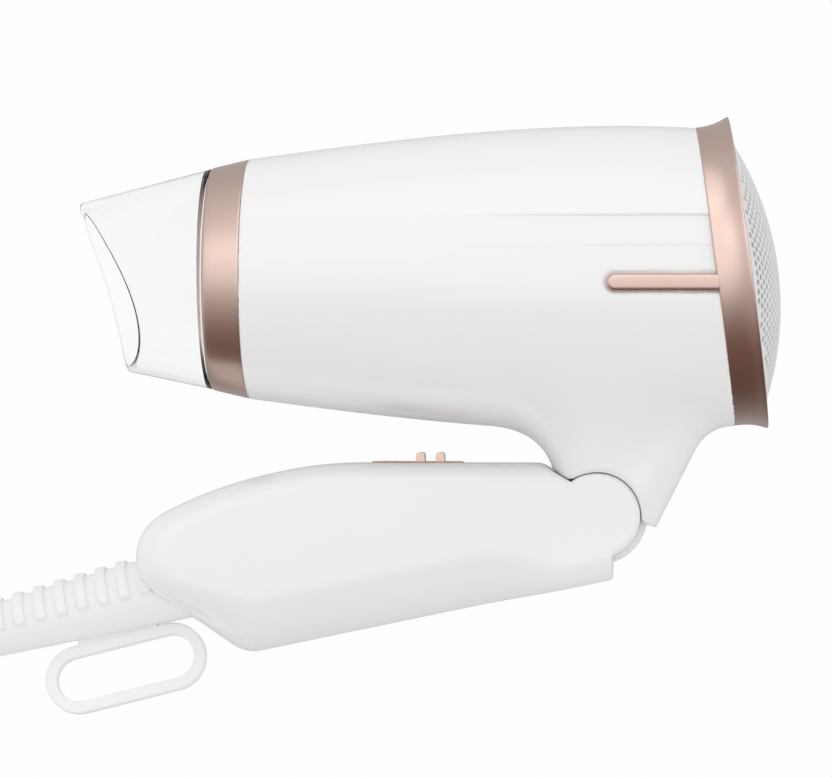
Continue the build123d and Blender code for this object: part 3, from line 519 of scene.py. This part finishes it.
def bar_mesh(side):
    """Bar on one side, built up in rings from its sunk foot over the bevel to its face."""
    rings = [(0.0, -1.1), (0.0, -0.05), (0.05, 0.08), (0.5, 0.52), (0.62, 0.57), (1.1, 0.585), (1.7, 0.59)]
    points, faces = [], []
    for inset, proud in rings:
        for x, z in pill(inset, BAR_END):
            reach = barrel_radius(x) + proud
            points.append((x, side * math.sqrt(reach ** 2 - (z + BAR_Z) ** 2), z + BAR_Z))
    count = len(pill(0.0, BAR_END))
    for ring in range(len(rings) - 1):
        for i in range(count):
            a, b = ring * count + i, ring * count + (i + 1) % count
            faces.append((a, b, b + count, a + count))
    last = (len(rings) - 1) * count
    faces.append(tuple(range(last, last + count)))
    faces.append(tuple(reversed(range(count))))
    return points, faces


for side, word in ((-1, "left"), (1, "right")):
    bar_points, bar_faces = bar_mesh(side)
    make_piece(f"{word}_bar", bar_points, bar_faces, "housing", rose_metal, [f"{word}_trim_bar"], 30)


# Inlet grille: a shallow moulded dome full of small staggered holes, with a skirt that snaps into the rear ring.
# It is a separate satin white moulding.

DOME_RIM = 33.1
DOME_BASE = 8.3
DOME_RISE = 7.5
DOME_WALL = 1.3
HOLE_RADIUS = 0.8
HOLE_SPACING = 2.3
DOME_RADIUS = (DOME_RIM ** 2 + DOME_RISE ** 2) / (2 * DOME_RISE)


def on_dome(u, v, depth):
    """Point under the dome's skin by depth, over the rim place (u, v)."""
    far = math.hypot(u, v)
    if far > DOME_RIM:
        u, v = u * DOME_RIM / far, v * DOME_RIM / far
    share = (DOME_RADIUS - depth) / DOME_RADIUS
    height = math.sqrt(DOME_RADIUS ** 2 - u * u - v * v)
    return (DOME_BASE + DOME_RISE - DOME_RADIUS + height * share, v * share, u * share)


def hex_cell(u, v, points, faces, open_cell):
    """One hexagon of the dome's sheet, with a drilled hole whose edges are eased unless it is left closed."""
    start = len(points)
    corners = []
    for step in range(12):
        angle = math.pi / 6 * step + math.pi / 6
        reach = HOLE_SPACING / 2 if step % 2 else HOLE_SPACING / math.sqrt(3)
        corners.append((u + reach * math.cos(angle), v + reach * math.sin(angle)))
    points.extend(on_dome(*corner, 0.0) for corner in corners)
    points.extend(on_dome(*corner, DOME_WALL) for corner in corners)
    if not open_cell:
        faces.append(tuple(range(start, start + 12)))
        faces.append(tuple(reversed(range(start + 12, start + 24))))
        return
    for radius, depth in ((HOLE_RADIUS + 0.12, 0.0), (HOLE_RADIUS, 0.14), (HOLE_RADIUS, DOME_WALL)):
        for step in range(12):
            angle = math.pi / 6 * step + math.pi / 6
            points.append(on_dome(u + radius * math.cos(angle), v + radius * math.sin(angle), depth))
    for one, two in ((0, 24), (24, 36), (36, 48), (48, 12)):
        for step in range(12):
            after = (step + 1) % 12
            faces.append((start + one + step, start + one + after, start + two + after, start + two + step))


def dome_mesh():
    """The perforated sheet: staggered rows of cells, left closed near the rim, welded into one."""
    points, faces = [], []
    row = HOLE_SPACING * math.sqrt(3) / 2
    for line in range(-17, 18):
        for column in range(-16, 17):
            u, v = (column + (line % 2) / 2) * HOLE_SPACING, line * row
            if math.hypot(u, v) < DOME_RIM + 1.2:
                hex_cell(u, v, points, faces, math.hypot(u, v) < DOME_RIM - 1.7)
    work = bmesh.new()
    made = [work.verts.new(point) for point in points]
    for face in faces:
        work.faces.new([made[index] for index in face])
    bmesh.ops.remove_doubles(work, verts=work.verts[:], dist=0.02)
    bmesh.ops.dissolve_degenerate(work, edges=work.edges[:], dist=0.01)
    bmesh.ops.recalc_face_normals(work, faces=work.faces[:])
    work.verts.index_update()
    found = [vertex.co[:] for vertex in work.verts]
    rings = [[vertex.index for vertex in face.verts] for face in work.faces]
    work.free()
    return np.array(found), rings


# Satin moulded ABS: a little greyer and duller than the shell, as fine mouldings are.
grille_abs = moulded("satin moulded white ABS grille", "#DADADA", "#E2E2E2", 0.38, 0.05, 0.5, 0.004)

dome_points, dome_faces = dome_mesh()
rim_points, rim_faces = spun([
    (8.2, 32.6), (8.42, 32.9), (8.5, 33.3), (8.38, 33.9), (8.1, 34.35), (7.6, 34.5), (0.0, 34.5), (-1.6, 34.45),
    (-1.6, 33.1), (0.0, 33.1), (7.2, 32.9)], 192)
rim_faces = [tuple(index + len(dome_points) for index in face) for face in rim_faces]
make_piece("grille_dome", at_inlet(np.concatenate([dome_points, rim_points])), dome_faces + rim_faces,
           "housing", grille_abs, ["inlet_grille"], 40)


# Concentrator nozzle: clear moulded polycarbonate, from a round collar to an egg-shaped mouth that slants back,
# with a spigot that turns in the front ring. Its wall is 1.4 mm and its lip is rounded.

MOUTH_TILT = math.radians(16.4)
MOUTH_X, MOUTH_Z = -27.5, -1.0
MOUTH_HIGH, MOUTH_WIDE = 21.9, 21.0
MOUTH_PINCH = 0.3
MOUTH_BOW = 76.0
COLLAR_RADIUS = 27.55
NOZZLE_WALL = 1.4


def nozzle_point(turn, share, inset):
    """Point on the nozzle's wall: share 0 at the collar, 1 at the mouth's cut edge."""
    overshoot = 4.0
    wide, high = MOUTH_WIDE * 0.96 - inset, MOUTH_HIGH * 0.96 - inset
    across = wide * math.cos(turn) * (1 - MOUTH_PINCH * math.sin(turn))
    up = high * math.sin(turn)
    out = (-math.cos(MOUTH_TILT), -math.sin(MOUTH_TILT))
    end = np.array([
        MOUTH_X + out[0] * overshoot - up * math.sin(MOUTH_TILT), across,
        MOUTH_Z + out[1] * overshoot + up * math.cos(MOUTH_TILT)])
    collar = COLLAR_RADIUS - inset
    start = np.array([-0.35, collar * math.cos(turn), collar * math.sin(turn)])
    low, top = 0.5, 1.0
    for _ in range(24):
        middle = (low + top) / 2
        spot = start + (end - start) * middle
        along = (spot[0] - MOUTH_X) * out[0] + (spot[2] - MOUTH_Z) * out[1]
        if along < -spot[1] ** 2 / (2 * MOUTH_BOW):
            low = middle
        else:
            top = middle
    return start + (end - start) * (low * share)


def nozzle_mesh():
    """Outer wall, rounded lip, inner wall and spigot as one closed loop of rows."""
    turns, rows = 160, 30
    lines = [("wall", share / rows, 0.0) for share in range(rows + 1)]
    lines[-1:] = [("wall", 0.985, 0.0), ("wall", 0.995, 0.12), ("wall", 1.0, 0.4), ("wall", 1.0, NOZZLE_WALL - 0.4)]
    lines += [("wall", 0.995, NOZZLE_WALL - 0.12)]
    lines += [("wall", share / rows, NOZZLE_WALL) for share in range(rows - 1, 0, -1)]
    spigot = [
        (0.4, 24.95), (6.7, 24.9), (6.95, 25.1), (6.95, 26.1), (6.7, 26.32), (0.1, 26.32), (-0.3, 26.5), (-0.34, 27.4)]
    lines += [("hoop", along, radius) for along, radius in spigot]
    points = []
    for kind, where, size in lines:
        for step in range(turns):
            turn = math.tau * step / turns
            if kind == "wall":
                points.append(nozzle_point(turn, where, size))
            else:
                points.append((where, size * math.cos(turn), size * math.sin(turn)))
    faces = [
        (row * turns + t, row * turns + (t + 1) % turns,
         (row + 1) % len(lines) * turns + (t + 1) % turns, (row + 1) % len(lines) * turns + t)
        for row in range(len(lines)) for t in range(turns)
    ]
    return points, faces


def clear_plastic(name):
    """Clear moulded plastic: sharp and nearly colourless, with faint flow lines in its gloss."""
    material, tree, shader, place = start_material(name)
    shader.inputs["Transmission Weight"].default_value = 1.0
    shader.inputs["IOR"].default_value = 1.2
    flow = add(tree, "ShaderNodeTexNoise", None, {"Vector": place, "Scale": 1000 / 9.0, "Detail": 3.0})
    pattern = flow.outputs["Fac"]
    surface(tree, shader, pattern, "#FAFBFB", "#FDFDFD", pattern, 0.02, 0.07, pattern, 0.15, 0.04)
    return material


# Clear polycarbonate: the white behind shows through, and only rims and the collar read as grey lines. Its IOR is
# set low, so that the thin wall hardly bends what is behind it.
clear_pc = clear_plastic("clear moulded polycarbonate")

nozzle_points, nozzle_faces = nozzle_mesh()
make_piece("clear_nozzle", nozzle_points, nozzle_faces, "nozzle", clear_pc, ["nozzle"], 40)


# Grip: two gloss white ABS halves screwed together, flat on top, slanted at the cord's end, with rounded edges
# and a pair of round ears that carry the hinge pin.

GRIP_HALF_WIDTH = 16.4
GRIP_EDGE, LOWER_EDGE = 6.5, 16.0
GRIP_TOP = -46.0
GRIP_REAR = 100.17
BEND_X, BEND_Z, BEND_RADIUS = 38.0, -151.0, 105.0
SPINE_X, SPINE_Z, SPINE = 9.6, -93.7, math.radians(11.9)
END_X, END_Z, END_FACE = 8.4, -93.96, math.radians(34.7)
NOSE_RADIUS, HEEL_RADIUS = 19.0, 2.6
SLOT_RADIUS, SLOT_HALF_WIDTH = 12.8, 9.9
SWITCH_X, SWITCH_Z = 51.4, -50.0
HANDLE_SCREWS = ((12.0, -77.0), (74.0, -66.0))
EXIT = (-11.5, -77.25)
EXIT_SLOPE = math.radians(14.2)


def corner(a, b, radius):
    """Overlap of two distances with a full fillet where they meet."""
    a, b = a + radius, b + radius
    return np.hypot(np.maximum(a, 0), np.maximum(b, 0)) + np.minimum(np.maximum(a, b), 0) - radius


def grip_side(x, z):
    """Distance to the grip's side outline, run on past the hinge."""
    bend = np.hypot(x - BEND_X, z - BEND_Z) - BEND_RADIUS
    top = np.where(x > BEND_X, z - GRIP_TOP, bend)
    end = -(x - END_X) * math.sin(END_FACE) - (z - END_Z) * math.cos(END_FACE)
    spine = (x - SPINE_X) * math.sin(SPINE) - (z - SPINE_Z) * math.cos(SPINE)
    return corner(corner(top, end, NOSE_RADIUS), spine, HEEL_RADIUS)


def handle_field(x, y, z):
    """Distance to the hollow grip: its lower edges rounder toward the cord, its ears round, its openings cut."""
    side = grip_side(x, z)
    spine_depth = (z - SPINE_Z) * math.cos(SPINE) - (x - SPINE_X) * math.sin(SPINE)
    crown = (1 - ease_in(spine_depth, 8.0, 26.0)) * (1 - ease_in(x, 66.0, 90.0))
    edge = GRIP_EDGE + (LOWER_EDGE - GRIP_EDGE) * crown
    taper = 2.2 * np.clip(1 - spine_depth / 32.0, 0, 1) ** 2 * (1 - ease_in(x, 70.0, 92.0))
    body = corner(side, np.abs(y) - GRIP_HALF_WIDTH + taper, edge)
    hinge = np.hypot(x - HINGE_X, z - HINGE_Z)
    off_neck = -(past_cut(x, z) + 0.08)
    outer = round_max(round_max(body, -off_neck, 0.8), x - GRIP_REAR, 0.5)
    room = np.maximum(np.maximum(body + WALL, WALL - off_neck), np.maximum(x - 98.2, EAR_RADIUS - hinge))
    ears = np.maximum(
        corner(hinge - EAR_RADIUS, np.abs(y) - GRIP_HALF_WIDTH, 1.0), SLOT_HALF_WIDTH - np.abs(y))
    shell = np.maximum(np.minimum(outer, ears), -room)
    slot = np.maximum(hinge - SLOT_RADIUS, np.abs(y) - SLOT_HALF_WIDTH)
    window = np.maximum(np.maximum(np.abs(x - SWITCH_X) - 11.3, np.abs(y) - 5.5), SWITCH_Z - z)
    up = (x - EXIT[0]) * math.sin(EXIT_SLOPE) - (z - EXIT[1]) * math.cos(EXIT_SLOPE)
    cord_hole = np.maximum(np.hypot(up, y) - 8.3, x - 4.5)
    wells = [np.maximum(np.hypot(x - sx, z - sz) - SCREW_WELL, 13.8 - y) for sx, sz in HANDLE_SCREWS]
    for cut in (slot, window, cord_hole, *wells):
        shell = np.maximum(shell, -cut)
    return shell


handle_points, handle_faces = skin(handle_field, [
    steps(-19.5, 108.5, cell), steps(-17.9, 17.9, cell), steps(-97.0, -44.5, cell)])
for side, word in ((-1, "left"), (1, "right")):
    half_points, half_faces = cut_in_half(handle_points, handle_faces, side)
    make_piece(f"handle_{word}", half_points, half_faces, "handle", gloss_abs, [f"handle_{word}_shell"])


# Boot: soft white PVC moulded over the cord, tapering from the grip, with raised half rings on its upper side
# and a bore that the cord runs through.

BOOT_LENGTH = 62.0
BOOT_RADII = (8.65, 5.9)
BORE_RADIUS = 3.3
RIB_PITCH = 5.45
RIBS = 11


def boot_frame(across, down, along):
    """Points given about the boot's axis, put where it leaves the grip."""
    c, s = math.cos(EXIT_SLOPE), math.sin(EXIT_SLOPE)
    return np.stack([EXIT[0] - along * c + down * s, across, EXIT[1] - along * s - down * c], -1)


def boot_radius(along):
    """Radius of the plain taper under the ribs."""
    return BOOT_RADII[0] + (BOOT_RADII[1] - BOOT_RADII[0]) * along / BOOT_LENGTH


def boot_mesh():
    """Rings of the boot from its head in the grip to its tip, closed through the bore; None marks the bore."""
    turns = 144
    rib_side = [
        (-0.3, 0.0), (-0.05, 0.06), (0.02, 0.62), (0.2, 0.82), (0.6, 0.9), (1.3, 0.98), (2.0, 1.06), (2.36, 1.08),
        (2.52, 0.92), (2.58, 0.15), (2.75, 0.0),
    ]
    lines = [(-7.8, None), (-7.8, 0.0), (-0.5, 0.0)]
    lines += [(RIB_PITCH * (rib + 0.55) + along, rise) for rib in range(RIBS) for along, rise in rib_side]
    lines += [(60.6, 0.0), (61.2, -0.12), (61.7, -0.45), (61.95, -1.0), (62.0, None)]
    points, faces = [], []
    for along, rise in lines:
        for step in range(turns):
            angle = math.tau * step / turns
            share = float(ease_in(-math.sin(angle), -0.08, 0.06))
            radius = BORE_RADIUS + 0.02 if rise is None else boot_radius(along) + (rise * share if rise > 0 else rise)
            points.append((radius * math.cos(angle), radius * math.sin(angle), along))
    rows = len(lines)
    for row in range(rows):
        after = (row + 1) % rows
        for t in range(turns):
            u = (t + 1) % turns
            faces.append((row * turns + t, row * turns + u, after * turns + u, after * turns + t))
    across, down, along = np.array(points).T
    return boot_frame(across, down, along), faces


# Soft PVC: satin, with a fine matt grain.
soft_pvc = moulded("satin soft white PVC", "#ECECEB", "#F0F0F0", 0.42, 0.06, 0.6, 0.01)

boot_points, boot_faces = boot_mesh()
make_piece("boot", boot_points, boot_faces, "handle", soft_pvc, ["strain_relief"], 45)


# Hanging loop: a flat stadium of the same soft PVC on a short web under the boot, its lower side leaning out.

LOOP_LENGTH, LOOP_WIDTH = 41.2, 17.1
LOOP_BAND, LOOP_THICKNESS, LOOP_EDGE = 3.0, 3.2, 0.5
LOOP_ALONG = 14.8
LOOP_LEAN = math.radians(13.0)


def loop_place(along, up, out):
    """Points of the flat loop tilted about its long top edge and hung under the boot."""
    c, s = math.cos(LOOP_LEAN), math.sin(LOOP_LEAN)
    reach = boot_radius(LOOP_ALONG) + 0.9
    return boot_frame(out * c + up * s, reach - (up * c - out * s), LOOP_ALONG + along)


def loop_mesh():
    """A band of rounded section carried round the stadium, and the web as a slim block with thinned ends."""
    half_straight, half_high = (LOOP_LENGTH - LOOP_WIDTH) / 2, LOOP_WIDTH / 2
    half_band, half_thick = LOOP_BAND / 2, LOOP_THICKNESS / 2
    bends, straights = 40, 20
    path = []
    for side in (1, -1):
        for step in range(straights):
            path.append((side * (half_straight - 2 * half_straight * step / straights), 0.0, side * 1.0))
        for step in range(bends):
            angle = math.pi / 2 + math.pi * step / bends
            path.append((-side * half_straight, side * math.cos(angle), side * math.sin(angle)))
    section = []
    for u, v in ((1, 1), (-1, 1), (-1, -1), (1, -1)):
        start = math.atan2(v, u) - math.pi / 4
        for step in range(6):
            angle = start + math.pi / 2 * step / 5
            section.append((
                u * (half_band - LOOP_EDGE) + LOOP_EDGE * math.cos(angle),
                v * (half_thick - LOOP_EDGE) + LOOP_EDGE * math.sin(angle)))
    points, faces = [], []
    for x, nx, nz in path:
        for inward, out in section:
            radius = half_high - half_band + inward
            points.append((x + nx * radius, nz * radius - half_high, out))
    count, rows = len(section), len(path)
    for row in range(rows):
        after = (row + 1) % rows
        for i in range(count):
            j = (i + 1) % count
            faces.append((row * count + i, after * count + i, after * count + j, row * count + j))
    web = []
    for along in (-10.3, -10.1, 10.1, 10.3):
        for up in (-0.6, 2.6):
            for out in (-1.5, 0.8):
                web.append((along, up, out * (0.6 if abs(along) > 10.2 else 1.0)))
    base = len(points)
    points += web
    for a in range(3):
        b = base + a * 4
        faces += [(b, b + 4, b + 6, b + 2), (b + 1, b + 3, b + 7, b + 5)]
        faces += [(b, b + 1, b + 5, b + 4), (b + 2, b + 6, b + 7, b + 3)]
    faces += [(base, base + 2, base + 3, base + 1), (base + 12, base + 13, base + 15, base + 14)]
    return loop_place(*np.array(points).T), faces


loop_points, loop_faces = loop_mesh()
make_piece("loop", loop_points, loop_faces, "handle", soft_pvc, ["hanging_loop"], 40)


# Slide switch, screws and hinge pin: the switch plate and its two-ridged slider share the trim's finish; the
# screws and the pin are plain zinc-plated steel.


def dress(material, *nodes):
    """Gives CAD nodes a finish."""
    for node in nodes:
        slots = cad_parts[node].data.materials
        slots.clear()
        slots.append(material)


def plain_metal(name, dark, light, roughness, grain_mm, stretch=(1, 1, 1)):
    """Bare or plated metal with a fine directional or even grain in its gloss."""
    material, tree, shader, place = start_material(name)
    squeezed = add(tree, "ShaderNodeMapping", None, {"Vector": place, "Scale": stretch})
    grain = add(tree, "ShaderNodeTexNoise", None, {
        "Vector": squeezed.outputs[0], "Scale": 1000 / grain_mm, "Detail": 4.0})
    pattern = grain.outputs["Fac"]
    surface(tree, shader, pattern, dark, light, pattern, roughness - 0.08, roughness + 0.08, pattern, 0.3, 0.02)
    shader.inputs["Metallic"].default_value = 1.0
    return material


# Zinc-plated steel: cool grey with a slightly cloudy gloss.
zinc_steel = plain_metal("zinc plated steel", "#A9ABAE", "#C3C5C8", 0.32, 1.2)

dress(rose_metal, "switch_frame", "switch_slider")
dress(zinc_steel, "neck_screws", "handle_screws", "hinge_pin", "motor_can")


# Fan and its duct: glass-filled black nylon, for heat. The duct is clamped between the housing's halves and the
# fan is pressed on the motor's shaft.

# Glass-filled nylon: matt black with a faint mottle from the fibres.
black_nylon = moulded("moulded black nylon", "#1B1B1C", "#27272A", 0.5, 0.08, 0.7, 0.012)
dress(black_nylon, "impeller", "motor_mount", "motor_end_cap", "outlet_guard", "switch_body", "cord_clamp")

# Ground steel: the motor's shaft, brighter than the can and ruled round by the grinding.
ground_steel = plain_metal("ground steel shaft", "#B9BBBE", "#D2D4D6", 0.2, 0.3, (6, 1, 1))
dress(ground_steel, "motor_shaft")


# Heater: coils of oxidised nichrome on two crossed mica boards, inside a mica sleeve, with a bimetal cut-out and a
# one-shot thermal fuse.


def flaked(name, dark, light, flake_mm):
    """Pressed mica board: overlapping silvery-brown flakes with a dull sparkle."""
    material, tree, shader, place = start_material(name)
    flakes = add(tree, "ShaderNodeTexVoronoi", None, {"Vector": place, "Scale": 1000 / flake_mm})
    shade = add(tree, "ShaderNodeSeparateColor", None, {"Color": flakes.outputs["Color"]})
    surface(tree, shader, shade.outputs[0], dark, light, shade.outputs[1], 0.3, 0.6,
            flakes.outputs["Distance"], 0.3, 0.05)
    return material


# Mica laminate: pale grey-brown with flakes about 2 mm across.
mica_board = flaked("pressed mica board", "#8F7F66", "#B9AB92", 2.0)
# Nichrome: wire browned by heat, in bands along the coil.
nichrome = plain_metal("oxidised nichrome wire", "#5B5149", "#8B8078", 0.4, 3.0)
# Nickel plate: the small cut-out and fuse, a warm bright grey.
nickel_plate = plain_metal("nickel plated brass", "#B4AFA2", "#CCC7BA", 0.28, 0.8)
dress(mica_board, "heat_liner", "mica_board_upright", "mica_board_flat")
dress(nichrome, "heater_coil")
dress(nickel_plate, "thermostat", "thermal_fuse")


# Rectifier and leads: a small tan paper-phenolic board with black epoxy diodes behind the motor, and white PVC
# leads in the grip, soldered at their ends.

# Pressed paper phenolic: warm tan with a dull sheen.
phenolic = moulded("paper phenolic board", "#8A5A2C", "#A06C38", 0.45, 0.08, 1.2, 0.01)
# Transfer-moulded epoxy: near black with a fine matt grain.
epoxy = moulded("black epoxy", "#141416", "#1F1F22", 0.4, 0.08, 0.4, 0.01)
# Extruded PVC: off-white and smooth, a little duller than the shell.
lead_pvc = moulded("white PVC lead insulation", "#D9D9D6", "#E4E4E1", 0.45, 0.05, 0.8, 0.008)
dress(phenolic, "rectifier_board")
dress(epoxy, "rectifier_diodes")
dress(lead_pvc, "handle_leads")
